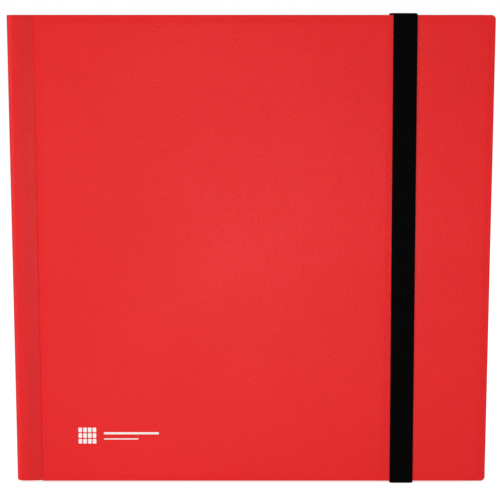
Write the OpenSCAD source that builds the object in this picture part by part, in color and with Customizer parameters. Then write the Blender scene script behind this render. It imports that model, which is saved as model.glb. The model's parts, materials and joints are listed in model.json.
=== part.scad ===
// Twelve-pocket trading card binder with an elastic closing band, standing on its lower edge.
// X runs from the spine to the fore-edge, -Y is the front cover's outer face, Z is up.
// The origin is on the ground, at the middle of the closed binder.

/* [Cover] */
// Width from the spine's outer face to the fore-edge
cover_w = 325; // [322:1:345]
// Height of the covers
cover_h = 320; // [310:1:340]
// Thickness of the closed binder over both covers
closed_t = 32; // [32:0.5:40]
// Distance of each hinge crease from the spine's outer face
crease_x = 17.7; // [17:0.1:20]
// Corner radius at the fore-edge
corner_r = 3; // [2:0.5:8]
// Radius that turns the spine into its side walls
spine_r = 5; // [4:0.5:6]
// How far a side wall lies below the cover's face beside the spine's radius
wall_drop = 0.4; // [0.3:0.1:0.8]
// How far a side wall lies below the cover's face at the crease
crease_drop = 0.9; // [0.7:0.1:1.1]

/* [Cover layers] */
// Thickness of the leatherette skin
skin_t = 0.6; // [0.5:0.1:0.8]
// Thickness of the stiffening board
board_t = 1.2; // [1.2:0.1:1.5]
// Thickness of the inner lining
lining_t = 0.4; // [0.3:0.1:0.5]
// Margin of the lining inside the cover's edge
lining_margin = 1; // [1:0.5:3]

/* [Pages] */
// Clear width of one pocket, for a card 63.5 wide
pocket_w = 66; // [65:0.5:67]
// Clear height of one pocket, for a card 88.9 high
pocket_h = 93.5; // [91:0.5:94]
// Width of a weld line beside a pocket
weld_w = 2; // [1.5:0.5:2]
// Height of a weld line above or below a pocket
weld_h = 2.5; // [2:0.5:3]
// Open slit at each pocket's mouth, on the side towards the spine
mouth_gap = 1.5; // [1:0.5:2]
// Distance from the spine's outer face to the first pocket's mouth
first_pocket_x = 35; // [34.5:0.5:36]
// Free margin of the page beyond the last pocket
page_margin = 2.5; // [2:0.5:4]
// Thickness of the opaque middle sheet
web_t = 0.2; // [0.15:0.05:0.25]
// Thickness of the clear film
film_t = 0.1; // [0.08:0.01:0.12]
// Depth of a pocket between the film and the middle sheet
pocket_gap = 0.4; // [0.35:0.05:0.4]

/* [Elastic band] */
// Width of the elastic band
strap_w = 16; // [12:1:20]
// Thickness of the elastic band
strap_t = 1.2; // [1:0.1:1.5]
// Distance of the band's middle from the spine's outer face
strap_x = 265; // [200:5:290]
// Distance of the slots in the back cover from its upper and lower edge
slot_inset = 20; // [15:1:40]
// Length of band glued down inside the back cover
tail_l = 40; // [25:1:60]

/* [Hidden] */
leaves = 20;
columns = 4;
rows = 3;
hw = closed_t / 2;
laminate_t = skin_t + board_t + lining_t;
fit_gap = 0.05;           // between layers that only lie against each other
split = 0.02;             // keeps the pieces of one pocket sheet apart
cover_z = strap_t + fit_gap;
cover_top = cover_z + cover_h;
total_h = cover_top + fit_gap + strap_t;
hinge_gap = 0.5;          // from the crease line to the spine's wall
cover_start = crease_x + 0.3;
wall_end = crease_x - hinge_gap;
leaf_t = web_t + 2 * (pocket_gap + film_t);
leaf_clear = 0.28;        // between an outer leaf and the lining
leaf_pitch = (closed_t - 2 * laminate_t - 2 * leaf_clear - leaf_t) / (leaves - 1);
half = leaves / 2;
pivot_start = crease_x + 2.2;
pivot_step = 1.4;         // each leaf nearer the middle folds this much farther out
pivot_gap = 0.3;
column_pitch = pocket_w + weld_w + mouth_gap;
page_h = rows * pocket_h + (rows + 1) * weld_h;
page_z = cover_z + (cover_h - page_h) / 2;
page_end = first_pocket_x + columns * column_pitch - mouth_gap + page_margin;
binding_x = laminate_t + 0.1;
binding_t = 1.5;
binding_w = 2 * (hw - wall_drop - spine_r) + 0.4;
guard_squeeze = 0.8;      // the guards run closer together where they meet the binding
strap_front = hw + fit_gap;
slot_h = strap_t + 0.4;
slot_side = 0.3;
eps = 0.5;
arc_steps = 8;

function two(k) = k < 10 ? str("0", k) : str(k);
function leaf_node(k, what) = str("leaf_", two(k), "_", what);

function leaf_y(k) = (k - (leaves + 1) / 2) * leaf_pitch;
// leaf 1 and the last leaf fold nearest the crease, the two middle ones farthest out
function leaf_pivot(k) = pivot_start + pivot_step * (k <= half ? k - 1 : leaves - k);

function reversed(list) = [for (i = [len(list) - 1 : -1 : 0]) list[i]];
function arc(cx, cy, r, a0, a1) =
    [for (i = [0 : arc_steps]) let (a = a0 + (a1 - a0) * i / arc_steps) [cx + r * cos(a), cy + r * sin(a)]];

// Section of the spine's channel at a depth below its outer face, from the back crease to the front one
function channel(depth) = let (cy = hw - wall_drop - spine_r) concat(
    [[wall_end, wall_y(wall_end, depth)]],
    arc(spine_r, cy, spine_r - depth, 90, 180),
    arc(spine_r, -cy, spine_r - depth, 180, 270),
    [[wall_end, -wall_y(wall_end, depth)]]
);

// Height of a side wall's layer at a distance from the spine's outer face
function wall_y(x, depth) = hw - depth - wall_drop
    - (crease_drop - wall_drop) * (x - spine_r) / (wall_end - spine_r);

// Moves from distances off the spine's outer face to the model's own frame
module placed() {
    translate([-cover_w / 2, 0, 0]) children();
}

// Box between two corners
module box(low, high) {
    translate(low) cube(high - low);
}

// Outline of a cover, square at the crease and round at the fore-edge
module cover_outline(inset) {
    r = corner_r - inset;
    left = cover_start + inset;
    right = cover_w - inset;
    low = cover_z + inset;
    high = cover_top - inset;
    translate([left, low]) square([right - r - left, high - low]);
    translate([left, low + r]) square([right - left, high - low - 2 * r]);
    for (z = [low + r, high - r])
        translate([right - r, z]) circle(r = r, $fn = 48);
}

// One layer of the front cover, from a depth below its outer face
module cover_layer(inset, depth, thickness) {
    translate([0, thickness + depth - hw, 0])
        rotate([90, 0, 0])
            linear_extrude(height = thickness) cover_outline(inset);
}

// Skin wrapped round the four edges of the board
module cover_skin() {
    difference() {
        cover_layer(0, 0, skin_t + board_t);
        cover_layer(skin_t, skin_t, board_t + eps);
    }
}

module cover_board() {
    cover_layer(skin_t + fit_gap, skin_t, board_t);
}

module cover_lining() {
    cover_layer(lining_margin, skin_t + board_t, lining_t);
}

// Turns a shape that is drawn at the top edge over to the bottom edge as well
module both_ends() {
    children();
    translate([0, 0, total_h]) mirror([0, 0, 1]) children();
}

module front_skin() {
    color([0.89, 0.2, 0.21]) placed() cover_skin();
}

module front_board() {
    color([0.62, 0.6, 0.56]) placed() cover_board();
}

module front_lining() {
    color([0.06, 0.06, 0.06]) placed() cover_lining();
}

// The back cover's skin has one slot for each end of the elastic band
module back_skin() {
    color([0.89, 0.2, 0.21]) placed() difference() {
        mirror([0, 1, 0]) cover_skin();
        both_ends() slot_hole(hw - skin_t - eps, hw + eps, slot_h);
    }
}

module back_board() {
    color([0.62, 0.6, 0.56]) placed() difference() {
        mirror([0, 1, 0]) cover_board();
        both_ends() slot_hole(hw - laminate_t, hw, tail_l + slot_side);
    }
}

module back_lining() {
    color([0.06, 0.06, 0.06]) placed() mirror([0, 1, 0]) cover_lining();
}

// Cut for the band's upper end, hanging down from the slot's upper edge
module slot_hole(y_low, y_high, height) {
    side = strap_w / 2 + slot_side;
    top = cover_top - slot_inset;
    box([strap_x - side, y_low, top - height], [strap_x + side, y_high, top]);
}

// A stretch of the spine's channel between two depths
module channel_layer(depth_out, depth_in, low, high) {
    translate([0, 0, low])
        linear_extrude(height = high - low)
            polygon(concat(channel(depth_out), reversed(channel(depth_in))));
}

module spine_skin() {
    color([0.89, 0.2, 0.21]) placed() {
        channel_layer(0, skin_t, cover_z, cover_top);
        for (low = [cover_z, cover_top - skin_t])
            channel_layer(0, skin_t + board_t, low, low + skin_t);
        for (side = [0, 1])
            mirror([0, side, 0])
                box([wall_end - skin_t, wall_y(wall_end, skin_t + board_t), cover_z],
                    [wall_end, wall_y(wall_end, skin_t / 2), cover_top]);
    }
}

module spine_board() {
    half_w = hw - wall_drop - spine_r - fit_gap;
    color([0.62, 0.6, 0.56]) placed()
        box([skin_t + fit_gap, -half_w, cover_z + skin_t + fit_gap],
            [skin_t + board_t - fit_gap, half_w, cover_top - skin_t - fit_gap]);
}

module spine_lining() {
    color([0.06, 0.06, 0.06]) placed()
        channel_layer(skin_t + board_t, laminate_t, cover_z + lining_margin, cover_top - lining_margin);
}

// Stiffener inside one side wall of the channel
module hinge_slat() {
    outer = skin_t + fit_gap;
    inner = skin_t + board_t - fit_gap;
    x0 = spine_r + fit_gap;
    x1 = wall_end - skin_t - fit_gap;
    color([0.62, 0.6, 0.56]) placed()
        translate([0, 0, cover_z + skin_t + fit_gap])
            linear_extrude(height = cover_h - 2 * (skin_t + fit_gap))
                polygon([[x0, wall_y(x0, outer)], [x0, wall_y(x0, inner)],
                         [x1, wall_y(x1, inner)], [x1, wall_y(x1, outer)]]);
}

module front_hinge_slat() {
    mirror([0, 1, 0]) hinge_slat();
}

module back_hinge_slat() {
    hinge_slat();
}

// Strip inside the spine that the guards are welded to
module binding_strip() {
    color([0.1, 0.1, 0.1]) placed()
        box([binding_x, -binding_w / 2, page_z], [binding_x + binding_t, binding_w / 2, page_z + page_h]);
}

// One flexible guard for each leaf, from the binding strip to the leaf's fold
module binding_guards() {
    color([0.1, 0.1, 0.1]) placed()
        for (k = [1 : leaves])
            guard(k);
}

module guard(k) {
    t = web_t / 2;
    x0 = binding_x + binding_t;
    x1 = leaf_pivot(k) - pivot_gap;
    y0 = leaf_y(k) * guard_squeeze;
    y1 = leaf_y(k);
    translate([0, 0, page_z])
        linear_extrude(height = page_h)
            polygon([[x0, y0 - t], [x1, y1 - t], [x1, y1 + t], [x0, y0 + t]]);
}

// Opaque middle sheet of a leaf
module leaf_web(k) {
    color([0.08, 0.08, 0.08]) placed()
        box([leaf_pivot(k) + pivot_gap, leaf_y(k) - web_t / 2, page_z],
            [page_end, leaf_y(k) + web_t / 2, page_z + page_h]);
}

// Clear pockets on both faces of a leaf
module leaf_film(k) {
    color([0.85, 0.9, 0.93, 0.35]) placed()
        translate([0, leaf_y(k), 0])
            for (side = [0, 1])
                mirror([0, side, 0]) pocket_sheet();
}

// One face's film, its upright welds and the level welds between its rows
module pocket_sheet() {
    base = web_t / 2;
    middle = base + pocket_gap / 2;
    film = base + pocket_gap;
    film_end = page_end - page_margin;
    for (c = [0 : columns - 1]) {
        mouth = first_pocket_x + c * column_pitch;
        box([mouth, film, page_z], [mouth + pocket_w + weld_w, film + film_t, page_z + page_h]);
        box([mouth + pocket_w, base + split, page_z],
            [mouth + pocket_w + weld_w, middle - split / 2, page_z + page_h]);
    }
    for (r = [0 : rows]) {
        z = page_z + r * (pocket_h + weld_h);
        box([first_pocket_x, middle + split / 2, z], [film_end, film - split, z + weld_h]);
    }
}

// The band's straight run down the front cover
module strap_run() {
    color([0.03, 0.03, 0.03]) placed()
        box([strap_x - strap_w / 2, -strap_front - strap_t, strap_t],
            [strap_x + strap_w / 2, -strap_front, total_h - strap_t]);
}

// The band over one end of the binder, and down behind it to the slot
module wrap() {
    low = cover_top - slot_inset + fit_gap;
    box([strap_x - strap_w / 2, -strap_front - strap_t, total_h - strap_t],
        [strap_x + strap_w / 2, strap_front + strap_t, total_h]);
    box([strap_x - strap_w / 2, strap_front, low],
        [strap_x + strap_w / 2, strap_front + strap_t, total_h - strap_t - split]);
}

module strap_top_wrap() {
    color([0.03, 0.03, 0.03]) placed() wrap();
}

module strap_bottom_wrap() {
    color([0.03, 0.03, 0.03]) placed() translate([0, 0, total_h]) mirror([0, 0, 1]) wrap();
}

// The band's end, through the slot and flat against the inside of the skin
module tail() {
    top = cover_top - slot_inset;
    face = hw - skin_t;
    box([strap_x - strap_w / 2, face - board_t, top - strap_t], [strap_x + strap_w / 2, strap_front + strap_t, top]);
    box([strap_x - strap_w / 2, face - board_t, top - tail_l], [strap_x + strap_w / 2, face, top]);
}

module strap_top_tail() {
    color([0.03, 0.03, 0.03]) placed() tail();
}

module strap_bottom_tail() {
    color([0.03, 0.03, 0.03]) placed() translate([0, 0, total_h]) mirror([0, 0, 1]) tail();
}

front_skin();
front_board();
front_lining();
spine_skin();
spine_board();
spine_lining();
front_hinge_slat();
back_hinge_slat();
back_skin();
back_board();
back_lining();
binding_strip();
binding_guards();
strap_run();
strap_top_wrap();
strap_bottom_wrap();
strap_top_tail();
strap_bottom_tail();
for (k = [1 : leaves]) {
    leaf_web(k);
    leaf_film(k);
}
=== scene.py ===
import json
import math

import bpy
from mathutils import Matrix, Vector


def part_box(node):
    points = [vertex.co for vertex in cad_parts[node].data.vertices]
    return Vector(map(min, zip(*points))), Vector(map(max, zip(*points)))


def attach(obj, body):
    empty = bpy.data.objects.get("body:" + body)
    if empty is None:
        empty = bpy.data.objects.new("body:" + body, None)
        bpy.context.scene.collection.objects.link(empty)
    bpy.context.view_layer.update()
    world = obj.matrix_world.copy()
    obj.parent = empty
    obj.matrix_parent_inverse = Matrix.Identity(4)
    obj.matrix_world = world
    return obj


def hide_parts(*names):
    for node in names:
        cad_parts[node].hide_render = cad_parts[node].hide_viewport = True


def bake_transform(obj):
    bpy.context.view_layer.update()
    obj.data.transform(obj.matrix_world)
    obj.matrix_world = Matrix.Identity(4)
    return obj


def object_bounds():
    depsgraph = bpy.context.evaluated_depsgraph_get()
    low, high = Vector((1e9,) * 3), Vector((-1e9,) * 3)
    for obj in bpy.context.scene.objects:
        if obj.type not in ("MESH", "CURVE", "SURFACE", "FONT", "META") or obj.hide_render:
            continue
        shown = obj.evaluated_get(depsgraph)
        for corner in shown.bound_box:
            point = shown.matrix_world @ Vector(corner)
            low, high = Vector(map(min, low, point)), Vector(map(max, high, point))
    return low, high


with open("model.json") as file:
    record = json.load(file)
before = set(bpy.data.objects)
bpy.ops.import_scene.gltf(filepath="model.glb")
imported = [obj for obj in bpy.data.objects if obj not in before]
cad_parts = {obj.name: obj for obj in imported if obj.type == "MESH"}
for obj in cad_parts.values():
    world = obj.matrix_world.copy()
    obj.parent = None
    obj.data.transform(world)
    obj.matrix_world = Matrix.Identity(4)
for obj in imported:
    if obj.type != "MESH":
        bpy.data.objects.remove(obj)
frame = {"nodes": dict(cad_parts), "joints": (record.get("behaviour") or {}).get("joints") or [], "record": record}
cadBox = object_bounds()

mm = 0.001
leafCount = 20
scene = bpy.context.scene


def smooth(t):
    t = min(max(t, 0.0), 1.0)
    return t * t * (3 - 2 * t)


def ramp(low, high, value):
    return smooth((value - low) / (high - low))


def newObject(name, verts, faces, material):
    mesh = bpy.data.meshes.new(name)
    mesh.from_pydata(verts, [], faces)
    mesh.validate()
    mesh.update()
    mesh.materials.append(material)
    obj = bpy.data.objects.new(name, mesh)
    scene.collection.objects.link(obj)
    return obj


# keeps the modifiers' result as the mesh itself, with crisp edges past the given angle
def applyModifiers(obj, sharpAngle=38):
    graph = bpy.context.evaluated_depsgraph_get()
    mesh = bpy.data.meshes.new_from_object(obj.evaluated_get(graph))
    obj.modifiers.clear()
    obj.data = mesh
    mesh.shade_smooth()
    mesh.set_sharp_from_angle(angle=math.radians(sharpAngle))
    return obj


def thicken(obj, thickness, offset=-1.0):
    shell = obj.modifiers.new("shell", "SOLIDIFY")
    shell.thickness = thickness
    shell.offset = offset
    return applyModifiers(obj)


# inward normals of a path of (x, y) points, square to the covers past flatFrom
# turn is the side they point to
def withNormals(path, flatFrom, turn=1):
    stations = []
    for i, (x, y) in enumerate(path):
        before = path[max(i - 1, 0)]
        after = path[min(i + 1, len(path) - 1)]
        dx, dy = after[0] - before[0], after[1] - before[1]
        if x >= flatFrom:
            dx, dy = 1.0, 0.0
        length = math.hypot(dx, dy)
        stations.append((x, y, -dy / length * turn, dx / length * turn))
    return stations


# a sheet that follows a path across, with its three free edges rounded at the corners and wrapped by loops
# of (inset, depth); everything is in millimetres until the last line
def sheetFrom(name, stations, rows, outline, loops, material, rise=None, holes=(), flip=False, mirror=False):
    low, high, right, corner = outline
    arcSteps = 6
    verts, faces = [], []
    flatY, flatN = stations[-1][1], stations[-1][3]
    lift = rise or (lambda x, z: 0.0)

    def put(x, y, nx, ny, z, depth):
        d = depth - lift(x, z)
        verts.append((x + nx * d, y + ny * d, z))
        return len(verts) - 1

    grid = [[put(*station, z, 0) for z in rows] for station in stations]
    last = len(stations) - 1
    for i in range(last):
        for k in range(len(rows) - 1):
            midX = (stations[i][0] + stations[i + 1][0]) / 2
            midZ = (rows[k] + rows[k + 1]) / 2
            if any(a < midX < b and c < midZ < d for a, b, c, d in holes):
                continue
            faces.append((grid[i][k], grid[i + 1][k], grid[i + 1][k + 1], grid[i][k + 1]))

    inner = [grid[i][0] for i in range(last + 1)] + [grid[last][0]] * (arcSteps - 1) + grid[last]
    inner += [grid[last][-1]] * (arcSteps - 1) + [grid[i][-1] for i in range(last, -1, -1)]
    for inset, depth in loops:
        radius = corner - inset
        outer = [put(*station, low + inset, depth) for station in stations]
        for a in range(1, arcSteps):
            angle = math.pi / 2 * a / arcSteps
            outer.append(put(right - corner + radius * math.sin(angle), flatY, 0, flatN,
                             low + corner - radius * math.cos(angle), depth))
        outer += [put(right - inset, flatY, 0, flatN, z, depth) for z in rows]
        for a in range(1, arcSteps):
            angle = math.pi / 2 * a / arcSteps
            outer.append(put(right - corner + radius * math.cos(angle), flatY, 0, flatN,
                             high - corner + radius * math.sin(angle), depth))
        outer += [put(*station, high - inset, depth) for station in reversed(stations)]
        for t in range(len(outer) - 1):
            quad = [outer[t], outer[t + 1], inner[t + 1], inner[t]]
            corners = [v for n, v in enumerate(quad) if v != quad[n - 1]]
            if len(corners) > 2:
                faces.append(tuple(corners))
        inner = outer

    if flip != mirror:
        faces = [tuple(reversed(f)) for f in faces]
    side = -1 if mirror else 1
    placed = [(leftX + x * mm, side * y * mm, z * mm) for x, y, z in verts]
    return newObject(name, placed, faces, material)


coverLow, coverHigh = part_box("front_skin")
spineLow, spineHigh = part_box("spine_skin")
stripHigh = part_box("binding_strip")[1]
bandLow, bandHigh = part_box("strap_run")
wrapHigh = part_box("strap_top_wrap")[1]
leftX = spineLow.x
hinges = {j["name"]: Vector(j["pos_m"]) for j in frame["joints"] if "pos_m" in j}


def fromSpine(x):
    return (x - leftX) / mm


case = {
    "halfThickness": -coverLow.y / mm,
    "low": coverLow.z / mm,
    "high": coverHigh.z / mm,
    "right": fromSpine(coverHigh.x),
    "creaseX": fromSpine(hinges["front_cover_fold"].x),
    "cornerRadius": 3.0,
    "spineRadius": 5.0,
    "wallDrop": 0.4,        # side wall below the cover's face, by the spine
    "creaseDrop": 0.9,      # and by the crease
    "wallEnd": fromSpine(spineHigh.x),
    "creaseDepth": 1.35,
    "creaseWidth": 1.15,
    "grooveInset": 0.2,     # the groove's lowest line, from the crease towards the spine
    "laminate": 2.2,
    "skin": 0.55,
    "lining": 0.38,
    "padding": 0.34,        # how far the soft padding lifts the skin off the board
    "rim": 5.6,             # flat margin round the padding
}
band = {
    "middle": fromSpine((bandLow.x + bandHigh.x) / 2),
    "width": (bandHigh.x - bandLow.x) / mm,
    "thickness": (bandHigh.y - bandLow.y) / mm,
    "slotInset": 20.0,
    "slotHeight": 1.7,
    "tail": 36.0,
    "bow": 0.35,            # dip towards the pages where the band crosses from cover to cover
    "lean": 1.8,            # how far the front run's lower end lies off square, as a slack band settles
}
print("frame read")


def newGroup(name, inputs, outputs):
    group = bpy.data.node_groups.new(name, "ShaderNodeTree")
    for label, kind, value in inputs:
        socket = group.interface.new_socket(label, in_out="INPUT", socket_type=kind)
        socket.default_value = value
    for label, kind in outputs:
        group.interface.new_socket(label, in_out="OUTPUT", socket_type=kind)
    source = group.nodes.new("NodeGroupInput")
    sink = group.nodes.new("NodeGroupOutput")
    return group, source, sink


def addNode(tree, kind, **settings):
    node = tree.nodes.new(kind)
    for key, value in settings.items():
        if key.startswith("in_"):
            slot = key[3:].replace("_", " ")
            node.inputs[int(slot) if slot.isdigit() else slot].default_value = value
        else:
            setattr(node, key, value)
    return node


def mathNode(tree, operation, first, second=None):
    node = addNode(tree, "ShaderNodeMath", operation=operation)
    for index, value in enumerate((first, second)):
        if value is None:
            continue
        if isinstance(value, (int, float)):
            node.inputs[index].default_value = value
        else:
            tree.links.new(value, node.inputs[index])
    return node.outputs[0]


# pebbled grain of an embossed plastic skin: Height for bump, Pits where the grain is deepest
def buildGrainGroup():
    group, source, sink = newGroup(
        "PebbleGrain",
        [("Scale", "NodeSocketFloat", 900.0), ("Softness", "NodeSocketFloat", 0.5)],
        [("Height", "NodeSocketFloat"), ("Pits", "NodeSocketFloat")])
    link = group.links.new
    place = addNode(group, "ShaderNodeTexCoord")
    bend = addNode(group, "ShaderNodeTexNoise", in_Scale=260.0, in_Detail=2.0)
    link(place.outputs["Object"], bend.inputs["Vector"])
    shift = addNode(group, "ShaderNodeVectorMath", operation="MULTIPLY_ADD")
    link(bend.outputs["Color"], shift.inputs[0])
    shift.inputs[1].default_value = (0.0009, 0.0009, 0.0009)
    link(place.outputs["Object"], shift.inputs[2])
    cells = addNode(group, "ShaderNodeTexVoronoi", feature="SMOOTH_F1")
    link(shift.outputs[0], cells.inputs["Vector"])
    link(source.outputs["Scale"], cells.inputs["Scale"])
    link(source.outputs["Softness"], cells.inputs["Smoothness"])
    fine = addNode(group, "ShaderNodeTexNoise", in_Scale=3200.0, in_Detail=2.0)
    link(place.outputs["Object"], fine.inputs["Vector"])
    dome = mathNode(group, "SUBTRACT", 1.0, cells.outputs["Distance"])
    rough = mathNode(group, "MULTIPLY", fine.outputs["Fac"], 0.25)
    link(mathNode(group, "ADD", dome, rough), sink.inputs["Height"])
    pits = addNode(group, "ShaderNodeMapRange")
    pits.inputs["From Min"].default_value = 0.55
    pits.inputs["From Max"].default_value = 0.9
    link(cells.outputs["Distance"], pits.inputs["Value"])
    link(pits.outputs[0], sink.inputs["Pits"])
    return group


# slow uneven tone, as in any dyed or moulded sheet
def buildMottleGroup():
    group, source, sink = newGroup(
        "SoftMottle",
        [("Base", "NodeSocketColor", (0.5, 0.5, 0.5, 1)), ("Tint", "NodeSocketColor", (0.4, 0.4, 0.4, 1)),
         ("Scale", "NodeSocketFloat", 12.0), ("Amount", "NodeSocketFloat", 0.5)],
        [("Color", "NodeSocketColor"), ("Mask", "NodeSocketFloat")])
    link = group.links.new
    place = addNode(group, "ShaderNodeTexCoord")
    cloud = addNode(group, "ShaderNodeTexNoise", in_Detail=4.0, in_Roughness=0.55)
    link(place.outputs["Object"], cloud.inputs["Vector"])
    link(source.outputs["Scale"], cloud.inputs["Scale"])
    spread = addNode(group, "ShaderNodeMapRange")
    spread.inputs["From Min"].default_value = 0.32
    spread.inputs["From Max"].default_value = 0.68
    link(cloud.outputs["Fac"], spread.inputs["Value"])
    amount = mathNode(group, "MULTIPLY", spread.outputs[0], source.outputs["Amount"])
    mix = addNode(group, "ShaderNodeMix", data_type="RGBA")
    link(amount, mix.inputs[0])
    link(source.outputs["Base"], mix.inputs[6])
    link(source.outputs["Tint"], mix.inputs[7])
    link(mix.outputs[2], sink.inputs["Color"])
    link(spread.outputs[0], sink.inputs["Mask"])
    return group


def threadWave(group, turn):
    angle = mathNode(group, "MULTIPLY", turn, math.pi)
    return mathNode(group, "ABSOLUTE", mathNode(group, "SINE", angle))


# woven threads: ribs run one way and picks cross them; Height is both, Ribs the ribs alone, from 0 to 1
def buildWeaveGroup():
    group, source, sink = newGroup(
        "ThreadWeave",
        [("Across", "NodeSocketFloat", 1.0), ("Along", "NodeSocketFloat", 1.0),
         ("Rib Pitch", "NodeSocketFloat", 0.0013), ("Pick Pitch", "NodeSocketFloat", 0.0007)],
        [("Height", "NodeSocketFloat"), ("Ribs", "NodeSocketFloat")])
    link = group.links.new
    ribTurn = mathNode(group, "DIVIDE", source.outputs["Across"], source.outputs["Rib Pitch"])
    pickTurn = mathNode(group, "DIVIDE", source.outputs["Along"], source.outputs["Pick Pitch"])
    ribCell = mathNode(group, "FLOOR", ribTurn)
    stagger = mathNode(group, "MULTIPLY", ribCell, 0.5)
    pickShift = mathNode(group, "ADD", pickTurn, stagger)
    ribWave = threadWave(group, ribTurn)
    pickWave = threadWave(group, pickShift)
    link(mathNode(group, "MULTIPLY", ribWave, pickWave), sink.inputs["Height"])
    link(ribWave, sink.inputs["Ribs"])
    return group


grainGroup = buildGrainGroup()
mottleGroup = buildMottleGroup()
weaveGroup = buildWeaveGroup()


def startMaterial(name, roughness, specular=0.5):
    material = bpy.data.materials.new(name)
    material.use_nodes = True
    tree = material.node_tree
    shader = tree.nodes["Principled BSDF"]
    shader.inputs["Roughness"].default_value = roughness
    shader.inputs["Specular IOR Level"].default_value = specular
    return material, tree, shader


def addMottle(tree, shader, base, tint, scale, amount):
    mottle = addNode(tree, "ShaderNodeGroup", node_tree=mottleGroup)
    mottle.inputs["Base"].default_value = (*base, 1)
    mottle.inputs["Tint"].default_value = (*tint, 1)
    mottle.inputs["Scale"].default_value = scale
    mottle.inputs["Amount"].default_value = amount
    tree.links.new(mottle.outputs["Color"], shader.inputs["Base Color"])
    return mottle


def addBump(tree, shader, height, strength, distance):
    bump = addNode(tree, "ShaderNodeBump", in_Strength=strength, in_Distance=distance)
    tree.links.new(height, bump.inputs["Height"])
    tree.links.new(bump.outputs["Normal"], shader.inputs["Normal"])
    return bump


def rangeTo(tree, value, low, high):
    node = addNode(tree, "ShaderNodeMapRange")
    node.inputs["To Min"].default_value = low
    node.inputs["To Max"].default_value = high
    tree.links.new(value, node.inputs["Value"])
    return node.outputs[0]


leatherette = {
    "base": (0.745, 0.0092, 0.011),
    "tint": (0.695, 0.0078, 0.0094),
    "grainScale": 820.0,
    "grainDepth": 0.0002,
    "grainStrength": 0.6,
    "roughness": (0.46, 0.58),
    "specular": 0.23,
    "paintedCreaseShade": (0.65, 0.0066, 0.0083),      # painted shade: the skin's colour is darkened along the crease, where shade falls
    "paintedShadeStart": (3.0, 11.0),                 # painted shade starts and is full, from the spine
    "paintedShadeEnd": (17.0, 20.5),                  # painted shade starts to fade and is gone
}


# 0 to 1 between two distances from the spine, in millimetres
def spanMask(tree, across, start, end):
    node = addNode(tree, "ShaderNodeMapRange", interpolation_type="SMOOTHSTEP")
    node.inputs["From Min"].default_value = leftX + start * mm
    node.inputs["From Max"].default_value = leftX + end * mm
    tree.links.new(across, node.inputs["Value"])
    return node.outputs[0]


def buildLeatherette():
    material, tree, shader = startMaterial("redLeatherette", 0.48, leatherette["specular"])
    mottle = addMottle(tree, shader, leatherette["base"], leatherette["tint"], 9.0, 0.6)
    place = addNode(tree, "ShaderNodeTexCoord")
    parts = addNode(tree, "ShaderNodeSeparateXYZ")
    tree.links.new(place.outputs["Object"], parts.inputs[0])
    # painted shade: the base colour is mixed darker across the side wall up to the crease, then fades out on the
    # cover
    darken = spanMask(tree, parts.outputs[0], *leatherette["paintedShadeStart"])
    fade = mathNode(tree, "SUBTRACT", 1.0, spanMask(tree, parts.outputs[0], *leatherette["paintedShadeEnd"]))
    mix = addNode(tree, "ShaderNodeMix", data_type="RGBA")
    mix.inputs[7].default_value = (*leatherette["paintedCreaseShade"], 1)
    tree.links.new(mathNode(tree, "MULTIPLY", darken, fade), mix.inputs[0])
    tree.links.new(mottle.outputs["Color"], mix.inputs[6])
    tree.links.new(mix.outputs[2], shader.inputs["Base Color"])
    grain = addNode(tree, "ShaderNodeGroup", node_tree=grainGroup)
    grain.inputs["Scale"].default_value = leatherette["grainScale"]
    grain.inputs["Softness"].default_value = 0.25
    addBump(tree, shader, grain.outputs["Height"], leatherette["grainStrength"], leatherette["grainDepth"])
    cloudWear = mathNode(tree, "MULTIPLY", mottle.outputs["Mask"], 0.6)
    wear = mathNode(tree, "ADD", cloudWear, grain.outputs["Pits"])
    tree.links.new(rangeTo(tree, wear, *leatherette["roughness"]), shader.inputs["Roughness"])
    return material


def buildFabric(name, base, tint, pitch, roughness):
    material, tree, shader = startMaterial(name, roughness, 0.3)
    addMottle(tree, shader, base, tint, 40.0, 0.8)
    place = addNode(tree, "ShaderNodeTexCoord")
    parts = addNode(tree, "ShaderNodeSeparateXYZ")
    tree.links.new(place.outputs["Object"], parts.inputs[0])
    weave = addNode(tree, "ShaderNodeGroup", node_tree=weaveGroup)
    weave.inputs["Rib Pitch"].default_value = pitch
    weave.inputs["Pick Pitch"].default_value = pitch
    tree.links.new(mathNode(tree, "ADD", parts.outputs[0], parts.outputs[1]), weave.inputs["Across"])
    tree.links.new(parts.outputs[2], weave.inputs["Along"])
    addBump(tree, shader, weave.outputs["Height"], 0.6, 0.0001)
    return material


elastic = {
    "ribs": 12,
    "ribDepth": 0.05,
    "pickPitch": 0.00075,
    "base": (0.0005, 0.0005, 0.0006),
    "thread": (0.0018, 0.0018, 0.0019),
}


def buildElastic():
    material, tree, shader = startMaterial("blackElastic", 0.85, 0.035)
    place = addNode(tree, "ShaderNodeTexCoord")
    parts = addNode(tree, "ShaderNodeSeparateXYZ")
    tree.links.new(place.outputs["Object"], parts.inputs[0])
    weave = addNode(tree, "ShaderNodeGroup", node_tree=weaveGroup)
    weave.inputs["Rib Pitch"].default_value = band["width"] * mm / elastic["ribs"]
    weave.inputs["Pick Pitch"].default_value = elastic["pickPitch"]
    edge = leftX + (band["middle"] - band["width"] / 2) * mm
    tree.links.new(mathNode(tree, "SUBTRACT", parts.outputs[0], edge), weave.inputs["Across"])
    tree.links.new(mathNode(tree, "ADD", parts.outputs[1], parts.outputs[2]), weave.inputs["Along"])
    mix = addNode(tree, "ShaderNodeMix", data_type="RGBA")
    mix.inputs[6].default_value = (*elastic["base"], 1)
    mix.inputs[7].default_value = (*elastic["thread"], 1)
    tree.links.new(weave.outputs["Height"], mix.inputs[0])
    tree.links.new(mix.outputs[2], shader.inputs["Base Color"])
    addBump(tree, shader, weave.outputs["Height"], 0.7, 0.00015)
    return material


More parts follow.
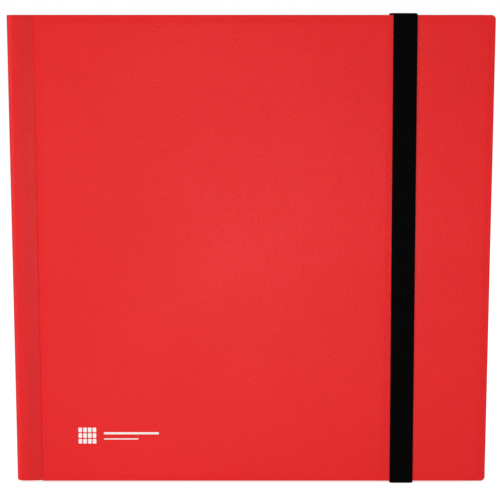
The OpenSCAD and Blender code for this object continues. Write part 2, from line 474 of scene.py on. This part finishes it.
def buildPlain(name, base, tint, roughness, grainScale, grainDepth, specular=0.5):
    material, tree, shader = startMaterial(name, roughness, specular)
    mottle = addMottle(tree, shader, base, tint, 30.0, 0.7)
    grain = addNode(tree, "ShaderNodeGroup", node_tree=grainGroup)
    grain.inputs["Scale"].default_value = grainScale
    addBump(tree, shader, grain.outputs["Height"], 0.5, grainDepth)
    low, high = roughness - 0.06, roughness + 0.06
    tree.links.new(rangeTo(tree, mottle.outputs["Mask"], low, high), shader.inputs["Roughness"])
    return material


# glossy see-through film: more of it shows where it is seen edge on
def buildFilm():
    material, tree, shader = startMaterial("clearFilm", 0.07, 0.9)
    shader.inputs["Coat Weight"].default_value = 1.0
    shader.inputs["Coat Roughness"].default_value = 0.06
    mottle = addMottle(tree, shader, (0.03, 0.031, 0.033), (0.045, 0.046, 0.049), 25.0, 0.6)
    tree.links.new(rangeTo(tree, mottle.outputs["Mask"], 0.08, 0.17), shader.inputs["Roughness"])
    facing = addNode(tree, "ShaderNodeLayerWeight", in_Blend=0.35).outputs["Facing"]
    tree.links.new(rangeTo(tree, facing, 0.24, 0.85), shader.inputs["Alpha"])
    ripple = addNode(tree, "ShaderNodeTexNoise", in_Scale=14.0, in_Detail=0.5)
    place = addNode(tree, "ShaderNodeTexCoord")
    tree.links.new(place.outputs["Object"], ripple.inputs["Vector"])
    addBump(tree, shader, ripple.outputs["Fac"], 0.3, 0.0016)
    return material


# heat-sealed seam between pockets: film pressed onto the sheet with a fine crossed pattern
def buildWeld():
    material, tree, shader = startMaterial("pressedSeam", 0.5, 0.4)
    addMottle(tree, shader, (0.022, 0.022, 0.023), (0.034, 0.034, 0.036), 60.0, 0.8)
    place = addNode(tree, "ShaderNodeTexCoord")
    parts = addNode(tree, "ShaderNodeSeparateXYZ")
    tree.links.new(place.outputs["Object"], parts.inputs[0])
    press = addNode(tree, "ShaderNodeGroup", node_tree=weaveGroup)
    press.inputs["Rib Pitch"].default_value = 0.0009
    press.inputs["Pick Pitch"].default_value = 0.0009
    tree.links.new(parts.outputs[0], press.inputs["Across"])
    tree.links.new(parts.outputs[2], press.inputs["Along"])
    addBump(tree, shader, press.outputs["Height"], 0.8, 0.00025)
    return material


finishes = {
    "leatherette": buildLeatherette(),
    "lining": buildFabric("blackLining", (0.011, 0.011, 0.012), (0.017, 0.017, 0.018), 0.0006, 0.75),
    "board": buildPlain("greyBoard", (0.36, 0.33, 0.28), (0.27, 0.25, 0.21), 0.85, 1500.0, 0.00008, 0.2),
    "elastic": buildElastic(),
    "binding": buildPlain("bindingTape", (0.012, 0.012, 0.013), (0.02, 0.02, 0.021), 0.6, 1200.0, 0.00005),
    "page_sheet": buildPlain("pageSheet", (0.012, 0.012, 0.0125), (0.018, 0.018, 0.019), 0.5, 90.0, 0.00002),
    "clear_film": buildFilm(),
}
seamFinish = buildWeld()
inkFinish = buildPlain("whiteInk", (0.86, 0.85, 0.84), (0.8, 0.8, 0.79), 0.5, 1800.0, 0.00003, 0.4)
for entry in frame["record"]["subparts"]:
    mesh = frame["nodes"][entry["node"]].data
    mesh.materials.clear()
    mesh.materials.append(finishes[entry["material_slot"]])
print("materials made")


def wallHeight(x):
    t = (x - case["spineRadius"]) / (case["wallEnd"] - case["spineRadius"])
    return case["halfThickness"] - case["wallDrop"] - (case["creaseDrop"] - case["wallDrop"]) * t


# height of the skin's face over the middle plane, from the spine's radius to the cover
# the side wall falls away ever faster to the crease, where the skin turns up sharply onto the cover
def skinHeight(x):
    grooveX = case["creaseX"] - case["grooveInset"]
    grooveY = case["halfThickness"] - case["creaseDepth"]
    if x <= grooveX:
        t = (x - case["spineRadius"]) / (grooveX - case["spineRadius"])
        startY = case["halfThickness"] - case["wallDrop"]
        return startY + (grooveY - startY) * t ** 2.2
    rise = smooth((x - grooveX) / case["creaseWidth"])
    return grooveY + (case["halfThickness"] - grooveY) * rise


def spineArc(radius, steps=8):
    centreX = case["spineRadius"]
    centreY = case["halfThickness"] - case["wallDrop"] - case["spineRadius"]
    path = [(centreX - radius, -centreY * part) for part in (0, 0.33, 0.66)]
    for i in range(steps + 1):
        angle = math.pi / 2 * i / steps
        path.append((centreX - radius * math.cos(angle), -centreY - radius * math.sin(angle)))
    return path


# stations over the cover's face, closer together beside the band
def coverStations(start, end):
    side = band["width"] / 2
    marks = [start + gap for gap in (0.8, 2.2, 3.8, 5.8, 9.0)]
    x = start + 20
    while x < band["middle"] - side - 12:
        marks.append(x)
        x += 12
    for gap in (0.3, 1.2, 2.2, 3.4, 5.0):
        marks += [band["middle"] - (side + gap), band["middle"] + side + gap]
    marks += [band["middle"]] + [band["middle"] + side + gap for gap in (14, 26)]
    marks += [end - gap for gap in (4.6, 2.6, 1.2, 0)]
    return sorted(marks)


# levels up the cover between its rounded corners, closer together at the ends and along the band's slots
def rowLines(low, high):
    slot = band["slotInset"] - case["cornerRadius"]
    near = [0, 1.0, 2.2, 3.6, 6, 10, slot - 3, slot, slot + band["slotHeight"], slot + 4, slot + 9]
    endZone = 38
    middle = []
    z = low + endZone
    while z < high - endZone:
        middle.append(z)
        z += 12
    return sorted([low + d for d in near] + middle + [high - d for d in near])


def padding(mirrorSide):
    def rise(x, z):
        start = case["creaseX"] + 0.95
        reach = case["rim"]
        edge = min(z - case["low"], case["high"] - z, case["right"] - x)
        amount = ramp(1.2, reach, edge) * ramp(0.4, reach * 0.7, x - start)
        beside = ramp(0.2, 4.2, abs(x - band["middle"]) - band["width"] / 2)
        if mirrorSide:
            fromEnd = min(z - case["low"], case["high"] - z) - band["slotInset"]
            beside = max(beside, ramp(0.5, 6.0, fromEnd))
        return case["padding"] * amount * beside
    return rise


def edgeLoops():
    radius = 0.7
    loops = [(2.2, 0), (1.5, 0), (radius, 0)]
    for i in range(1, 5):
        angle = math.pi / 2 * i / 4
        loops.append((radius * (1 - math.sin(angle)), radius * (1 - math.cos(angle))))
    return loops + [(0, 1.4), (0.08, 1.65), (0.28, 1.8)]


def buildSkin(name, back):
    corner = case["cornerRadius"]
    path = spineArc(case["spineRadius"])
    x = case["spineRadius"] + 1.3
    while x < case["wallEnd"] - 1.4:
        path.append((x, -skinHeight(x)))
        x += 1.3
    grooveX = case["creaseX"] - case["grooveInset"]
    for gap in (-1.0, -0.55, -0.25, -0.08, 0, 0.15, 0.3, 0.5, 0.7, 0.9, 1.05, 1.2):
        path.append((grooveX + gap, -skinHeight(grooveX + gap)))
    for x in coverStations(grooveX + 1.2, case["right"] - corner):
        path.append((x, -case["halfThickness"]))
    rows = rowLines(case["low"] + corner, case["high"] - corner)
    side = band["width"] / 2 + 0.3
    slots = []
    if back:
        for edge, sign in ((case["low"], 1), (case["high"], -1)):
            near = edge + sign * band["slotInset"]
            a, b = sorted((near, edge + sign * (band["slotInset"] + band["slotHeight"])))
            slots.append((band["middle"] - side, band["middle"] + side, a - 0.05, b + 0.05))
    outline = (case["low"], case["high"], case["right"], corner)
    skin = sheetFrom(name, withNormals(path, case["spineRadius"]), rows, outline, edgeLoops(),
                     finishes["leatherette"], rise=padding(back), holes=slots, mirror=back)
    thicken(skin, case["skin"] * mm)
    return skin


def buildLining(name, back):
    inset = 0.7
    corner = case["cornerRadius"] - inset
    laminate = case["laminate"]
    inside = case["halfThickness"] - laminate
    path = spineArc(case["spineRadius"] - laminate)
    x = case["spineRadius"] + 2
    bendFrom, bendTo = case["wallEnd"] - 0.6, case["creaseX"] + 0.9
    while x < bendFrom:
        path.append((x, -(wallHeight(x) - laminate)))
        x += 2
    for i in range(9):
        t = i / 8
        low = wallHeight(bendFrom) - laminate
        path.append((bendFrom + (bendTo - bendFrom) * t, -(low + (inside - low) * smooth(t))))
    right = case["right"] - inset
    x = bendTo + 6
    while x < right - corner - 8:
        path.append((x, -inside))
        x += 20
    path.append((right - corner, -inside))
    low, high = case["low"] + inset, case["high"] - inset
    rows = [low + corner + (high - low - 2 * corner) * i / 12 for i in range(13)]
    lining = sheetFrom(name, withNormals(path, case["spineRadius"], -1), rows, (low, high, right, corner),
                       [(0.4, 0), (0.1, 0.06), (0, 0.2)], finishes["lining"], flip=True, mirror=back)
    thicken(lining, case["lining"] * mm)
    return lining


for back, body in ((False, "front_cover"), (True, "back_cover")):
    label = "back" if back else "front"
    for build, part in ((buildSkin, "skin"), (buildLining, "lining")):
        piece = build(f"{label}_{part}_sheet", back)
        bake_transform(piece)
        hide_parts(f"{label}_{part}", f"spine_{part}")
print("case made")


# points of a path with each corner rounded
def roundedPath(points, radius, steps=6):
    path = [Vector(points[0])]
    for before, here, after in zip(points, points[1:], points[2:]):
        here, a, b = Vector(here), Vector(before), Vector(after)
        toA, toB = (a - here).normalized(), (b - here).normalized()
        half = toA.angle(toB) / 2
        cut = radius / math.tan(half)
        centre = here + (toA + toB).normalized() * (radius / math.sin(half))
        start, end = here + toA * cut - centre, here + toB * cut - centre
        for i in range(steps + 1):
            path.append(centre + start.slerp(end, i / steps).normalized() * radius)
    path.append(Vector(points[-1]))
    return path


# half thickness of the band at a distance from its middle line
def bandHalf(x):
    half = band["width"] / 2
    edge = max(1 - (abs(x) / half) ** 10, 0.0) ** 0.5
    pitch = band["width"] / elastic["ribs"]
    rib = elastic["ribDepth"] * abs(math.sin(math.pi * (x + half) / pitch))
    return (band["thickness"] / 2 - elastic["ribDepth"] + rib) * edge


def buildBand():
    half = band["thickness"] / 2
    face = -(bandLow.y + bandHigh.y) / 2 / mm
    low, high = half, wrapHigh.z / mm - half
    slot = case["low"] + band["slotInset"] + half + 0.2
    inside = case["halfThickness"] - case["skin"] - half - 0.1
    bend = half + 0.02
    route = [(0, inside, slot + band["tail"]), (0, inside, slot), (0, face, slot)]
    route += [(0, face, low), (0, -face, low)]
    route += [(x, y, low + high - z) for x, y, z in reversed(route)]
    path = roundedPath(route, bend)
    dense = []
    for a, b in zip(path, path[1:]):
        crossing = abs(a.y - b.y) > face
        count = max(1, math.ceil((b - a).length / (3 if crossing else 12)))
        stretch = [a.lerp(b, i / count) for i in range(count)]
        if crossing:
            inward = 1 if a.z < high / 2 else -1
            for point in stretch:
                point.z += inward * band["bow"] * (1 - (point.y / (face - bend)) ** 2)
        dense += stretch
    dense.append(path[-1])
    across = [band["width"] / 2 * math.sin(math.pi / 2 * i / 30) for i in range(-30, 31)]
    profile = [(x, bandHalf(x)) for x in across] + [(x, -bandHalf(x)) for x in across[-2:0:-1]]
    verts, faces = [], []
    for i, point in enumerate(dense):
        along = (dense[min(i + 1, len(dense) - 1)] - dense[max(i - 1, 0)]).normalized()
        out = Vector((1, 0, 0)).cross(along)
        middle = band["middle"] + band["lean"] * (1 - point.z / high) * ramp(face, -face, point.y)
        for x, t in profile:
            p = point + out * t
            verts.append((leftX + (middle + x) * mm, p.y * mm, p.z * mm))
    count = len(profile)
    for i in range(len(dense) - 1):
        for n in range(count):
            m = (n + 1) % count
            faces.append((i * count + n, i * count + m, (i + 1) * count + m, (i + 1) * count + n))
    faces.append(tuple(reversed(range(count))))
    faces.append(tuple(range(len(verts) - count, len(verts))))
    piece = newObject("elastic_band", verts, faces, finishes["elastic"])
    piece.data.shade_smooth()
    piece.data.set_sharp_from_angle(angle=math.radians(50))
    return piece


elasticBand = buildBand()
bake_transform(elasticBand)
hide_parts("strap_run", "strap_top_wrap", "strap_bottom_wrap",
            "strap_top_tail", "strap_bottom_tail")
print("band made")


page = {
    "corner": 3.0,
    "sheet": 0.2,
    "fold": 2.6,             # half the length over which a leaf bends
    "guardSqueeze": 0.8,
    "columns": 4,
    "rows": 3,
    "pocketWidth": 66.0,
    "pocketHeight": 93.5,
    "weldWidth": 2.0,
    "weldHeight": 2.5,
    "mouthGap": 1.5,
    "film": 0.09,
    "weldLift": 0.17,        # film above the leaf's middle plane along a weld
    "pocketLift": 0.5,       # and over the middle of a pocket
    "mouthLift": 0.42,
    "thumbDepth": 5.0,
    "thumbHeight": 13.0,
}


def buildLeafSheet(k):
    low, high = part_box(f"leaf_{k:02d}_web")
    middle = (low.y + high.y) / 2 / mm
    pivotX = fromSpine(hinges[f"leaf_{k:02d}_turn"].x)
    startX = fromSpine(stripHigh.x)
    right = fromSpine(high.x)
    fold = page["fold"]
    guardEnd = pivotX - fold - 1
    startY = middle * page["guardSqueeze"]
    path = []
    for t in (0, 0.3, 0.6, 0.85, 1):
        path.append((startX + (guardEnd - startX) * t, startY + (middle - startY) * smooth(t) ** 0.8))
    path += [(pivotX + fold * (i / 6 - 1), middle) for i in range(13)]
    path += [(pivotX + fold + (right - page["corner"] - pivotX - fold) * i / 8, middle) for i in range(1, 9)]
    bottom, top = low.z / mm, high.z / mm
    rows = [bottom + page["corner"] + (top - bottom - 2 * page["corner"]) * i / 6 for i in range(7)]
    outline = (bottom, top, right, page["corner"])
    sheet = sheetFrom(f"leaf_{k:02d}_sheet", withNormals(path, guardEnd), rows, outline,
                      [(0, 0)], finishes["page_sheet"])
    thicken(sheet, page["sheet"] * mm, 0.0)
    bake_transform(sheet)
    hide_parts(f"leaf_{k:02d}_web", "binding_guards")


# height of the film over one pocket, from the mouth (u = 0) to the side weld (u = width)
def filmLift(u, v):
    width, height = page["pocketWidth"], page["pocketHeight"]
    edge = min(v, height - v)
    swell = ramp(0, 9, edge) * ramp(0, 12, width - u)
    crown = page["mouthLift"] + (page["pocketLift"] - page["mouthLift"]) * ramp(0, 14, u)
    return page["weldLift"] + (crown - page["weldLift"]) * swell


def buildPockets(k):
    low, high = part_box(f"leaf_{k:02d}_film")
    middle = (low.y + high.y) / 2 / mm
    width, height = page["pocketWidth"], page["pocketHeight"]
    across = [0, 2.5, 11, 30, 50, 61, width, width + page["weldWidth"]]
    thumb = page["thumbHeight"]
    lower = [0, 2, 5.5, 12, 22] + [height / 2 - thumb * part for part in (1, 0.88, 0.68, 0.44, 0.2)]
    up = lower + [height - v for v in reversed(lower)]
    verts, faces, seams = [], [], []
    for side in (-1, 1):
        for c in range(page["columns"]):
            mouthX = fromSpine(low.x) + c * (width + page["weldWidth"] + page["mouthGap"])
            first = len(verts)
            levels = [(low.z / mm, 0.0)]
            for r in range(page["rows"]):
                base = low.z / mm + page["weldHeight"] + r * (height + page["weldHeight"])
                levels += [(base + v, v) for v in up]
            levels.append((high.z / mm, 0.0))
            for z, v in levels:
                notch = page["thumbDepth"] * max(1 - ((v - height / 2) / thumb) ** 2, 0.0)
                for u in across:
                    x = mouthX + notch + u * (1 - notch / (width + page["weldWidth"]))
                    y = middle + side * filmLift(min(u, width), v)
                    verts.append((leftX + x * mm, y * mm, z * mm))
            n = len(across)
            for i in range(len(levels) - 1):
                between = levels[i][1] == 0 and levels[i + 1][1] == 0 or levels[i][1] > levels[i + 1][1]
                for j in range(n - 1):
                    a = first + i * n + j
                    quad = (a, a + 1, a + n + 1, a + n)
                    faces.append(quad if side < 0 else tuple(reversed(quad)))
                    seams.append(between or j == n - 2)
    film = newObject(f"leaf_{k:02d}_pockets", verts, faces, finishes["clear_film"])
    film.data.materials.append(seamFinish)
    film.data.polygons.foreach_set("material_index", [int(seam) for seam in seams])
    thicken(film, page["film"] * mm, 1.0)
    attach(film, f"leaf_{k:02d}")
    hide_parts(f"leaf_{k:02d}_film")


for number in range(1, leafCount + 1):
    buildLeafSheet(number)
    buildPockets(number)
print("leaves made")


mark = {
    "left": 43.5,            # from the spine
    "base": 27.0,            # above the cover's lower edge
    "cell": (2.5, 3.3),
    "gap": 0.75,
    "round": 0.5,
    "columns": 4,
    "rows": 3,
    "rule": (38.0, 1.5),
    "lowerRule": (24.0, 0.8),
    "ruleGap": 4.5,
    "ruleHeights": (6.6, 2.9),
    "ink": 0.03,
}


def buildMark():
    verts, faces = [], []

    def addPatch(x0, z0, width, height, corner):
        outline = []
        for cx, cz, start in ((width - corner, corner, -90), (width - corner, height - corner, 0),
                              (corner, height - corner, 90), (corner, corner, 180)):
            for i in range(4):
                angle = math.radians(start + 30 * i)
                outline.append((x0 + cx + corner * math.cos(angle), z0 + cz + corner * math.sin(angle)))
        first, count = len(verts), len(outline)
        for layer in (0, mark["ink"]):
            verts.extend((x, layer, z) for x, z in outline)
        faces.append(tuple(first + i for i in reversed(range(count))))
        faces.append(tuple(first + count + i for i in range(count)))
        for i in range(count):
            j = (i + 1) % count
            faces.append((first + i, first + j, first + count + j, first + count + i))

    cellWidth, cellHeight = mark["cell"]
    for c in range(mark["columns"]):
        for r in range(mark["rows"]):
            x0, z0 = c * (cellWidth + mark["gap"]), r * (cellHeight + mark["gap"])
            addPatch(x0, z0, cellWidth, cellHeight, mark["round"])
    start = mark["columns"] * (cellWidth + mark["gap"]) + mark["ruleGap"]
    for rule, height in zip(("rule", "lowerRule"), mark["ruleHeights"]):
        addPatch(start, height, *mark[rule], mark[rule][1] * 0.4)
    front = case["halfThickness"] + case["padding"] - 0.005
    baseZ = case["low"] + mark["base"]
    placed = [(leftX + (mark["left"] + x) * mm, -(front + y) * mm, (baseZ + z) * mm) for x, y, z in verts]
    piece = newObject("cover_mark", placed, faces, inkFinish)
    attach(piece, "front_cover")


buildMark()
print("mark made")


studio = {
    "floorTone": 0.55,
    "floorGlow": (0.43, 0.76),     # as a light, and as the camera sees it
    "floorSize": 30.0,
    "ambient": 0.42,
    "top": ((0.0, -0.3, 1.5), 0.9, 0.4, 3.6),      # place, width, height, power
    "left": ((-1.05, -0.3, 0.35), 0.3, 0.8, 3.2),
    "front": ((-0.02, -0.6, 0.13), 0.2, 0.2, 1.2),
    "rear": ((0.5, 1.3, 0.9), 0.9, 0.6, 4.5),
}


def buildFloor():
    half = studio["floorSize"] / 2
    material, tree, shader = startMaterial("paleFloor", 0.9, 0.1)
    addMottle(tree, shader, (studio["floorTone"],) * 3, (studio["floorTone"] * 0.99,) * 3, 3.0, 0.5)
    shader.inputs["Emission Color"].default_value = (1, 1, 1, 1)
    seen = addNode(tree, "ShaderNodeLightPath").outputs["Is Camera Ray"]
    tree.links.new(rangeTo(tree, seen, *studio["floorGlow"]), shader.inputs["Emission Strength"])
    corners = [(-half, -half, 0), (half, -half, 0), (half, half, 0), (-half, half, 0)]
    newObject("floor", corners, [(0, 1, 2, 3)], material)


def addLight(name):
    place, width, height, power = studio[name]
    data = bpy.data.lights.new(name, "AREA")
    data.shape = "RECTANGLE"
    data.size, data.size_y = width, height
    data.energy = power
    lamp = bpy.data.objects.new(name, data)
    lamp.location = place
    lamp.visible_camera = False
    aim = Vector((0, 0, (cadBox[0].z + cadBox[1].z) / 2))
    lamp.rotation_euler = (aim - Vector(place)).to_track_quat("-Z", "Y").to_euler()
    scene.collection.objects.link(lamp)


# the backdrop is white to the eye, and lights the object less
def buildWorld():
    world = bpy.data.worlds.new("studio")
    world.use_nodes = True
    tree = world.node_tree
    background = tree.nodes["Background"]
    background.inputs["Color"].default_value = (1, 1, 1, 1)
    seen = addNode(tree, "ShaderNodeLightPath").outputs["Is Camera Ray"]
    tree.links.new(rangeTo(tree, seen, studio["ambient"], 1.0), background.inputs["Strength"])
    scene.world = world


camera = {
    "elevation": 8.9,
    "distance": 1.03,
    "lens": 109.5,
    "aimAcross": -0.0005,
    "aimHeight": 0.1639,
}


def buildCamera():
    data = bpy.data.cameras.new("camera")
    data.lens = camera["lens"]
    data.sensor_width = 36.0
    data.clip_end = 50.0
    obj = bpy.data.objects.new("camera", data)
    angle = math.radians(camera["elevation"])
    aim = Vector((camera["aimAcross"], cadBox[0].y, camera["aimHeight"]))
    back = Vector((0, -math.cos(angle), math.sin(angle)))
    obj.location = aim + back * camera["distance"]
    obj.rotation_euler = (-back).to_track_quat("-Z", "Y").to_euler()
    scene.collection.objects.link(obj)
    scene.camera = obj


buildFloor()
buildWorld()
for lightName in ("top", "left", "front", "rear"):
    addLight(lightName)
buildCamera()
scene.view_settings.view_transform = "Standard"
print("studio made")
